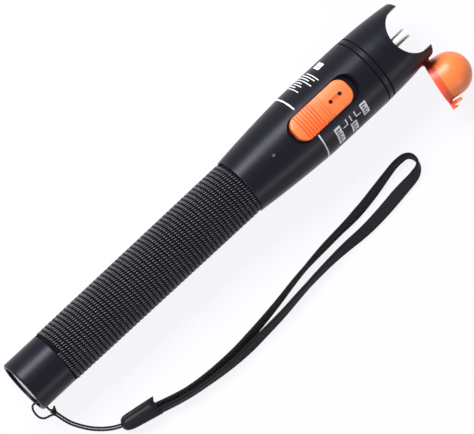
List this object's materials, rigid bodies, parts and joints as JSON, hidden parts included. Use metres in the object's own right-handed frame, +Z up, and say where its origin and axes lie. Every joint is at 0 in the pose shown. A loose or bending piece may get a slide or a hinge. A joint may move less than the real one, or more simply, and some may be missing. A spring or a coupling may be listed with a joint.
{
  "type": "visual fault locator",
  "caption": "Pen-shaped visual fault locator: battery handle, slide switch, fibre port in a two-eared crown, orange dust cap and wrist strap.",
  "frame": {"origin": "centre of the fibre port's mouth", "axes": "+X out of the port along the pen, pitched up 1.47 degrees as it lies on a flat surface; +Z up, on the switch side; +Y to the left side"},
  "size_m": [0.2021, 0.0591, 0.0288],
  "materials": {
    "anodised_black": "satin",
    "polished_nickel": "polished",
    "contact_brass": "satin",
    "spring_steel": "satin",
    "cell_steel": "satin",
    "seal_rubber": "matte",
    "light_guide": "gloss",
    "sleeve_ceramic": "gloss",
    "lens_glass": "clear",
    "carrier_plastic": "matte",
    "board_plastic": "satin",
    "button_orange": "satin",
    "cap_orange": "satin",
    "strap_cord": "matte",
    "clip_plastic": "satin"
  },
  "bodies": {
    "handle": {"handle_tube": "anodised_black", "tail_disc": "polished_nickel", "spring_plate": "contact_brass", "battery_spring": "spring_steel", "rear_cell": "cell_steel", "front_cell": "cell_steel", "wrist_string": "strap_cord", "string_knot": "strap_cord", "strap_clip": "clip_plastic", "wrist_webbing": "strap_cord"},
    "seal": {"barrel_oring": "seal_rubber"},
    "head": {"front_barrel": "anodised_black", "indicator_pipe": "light_guide", "collar_ring": "anodised_black", "crown": "anodised_black", "cap_pin": "spring_steel", "port_housing": "polished_nickel", "ferrule_sleeve": "sleeve_ceramic", "laser_barrel": "contact_brass", "focus_lens": "lens_glass", "lens_retainer": "contact_brass", "laser_diode": "contact_brass", "positive_contact": "contact_brass", "module_carrier": "carrier_plastic", "circuit_board": "board_plastic", "board_screws": "spring_steel", "driver_chip": "carrier_plastic", "filter_capacitors": "cell_steel", "slide_switch": "spring_steel"},
    "switch": {"switch_stem": "carrier_plastic", "slide_button": "button_orange"},
    "dust_cap": {"dust_cap": "cap_orange"}
  },
  "joints": [
    {"name": "head_advance", "type": "slide", "parent": "handle", "child": "seal", "axis": [0.9997, 0, 0.0256], "range_m": [0, 0.006]},
    {"name": "head_turn", "type": "hinge", "parent": "seal", "child": "head", "pos_m": [0, 0, 0], "axis": [0.9997, 0, 0.0256], "range_deg": [0, 1440]},
    {"name": "switch_slide", "type": "slide", "parent": "head", "child": "switch", "axis": [0.9997, 0, 0.0256], "range_m": [-0.00125, 0.00125]},
    {"name": "cap_swing", "type": "hinge", "parent": "head", "child": "dust_cap", "pos_m": [-0.00478, -0.0102, -0.00462], "axis": [-0.0256, 0, 0.9997], "range_deg": [-56, 0]}
  ],
  "couplings": [
    {"joint": "head_turn", "follows": "head_advance", "rad_per_m": 4188.8}
  ]
}
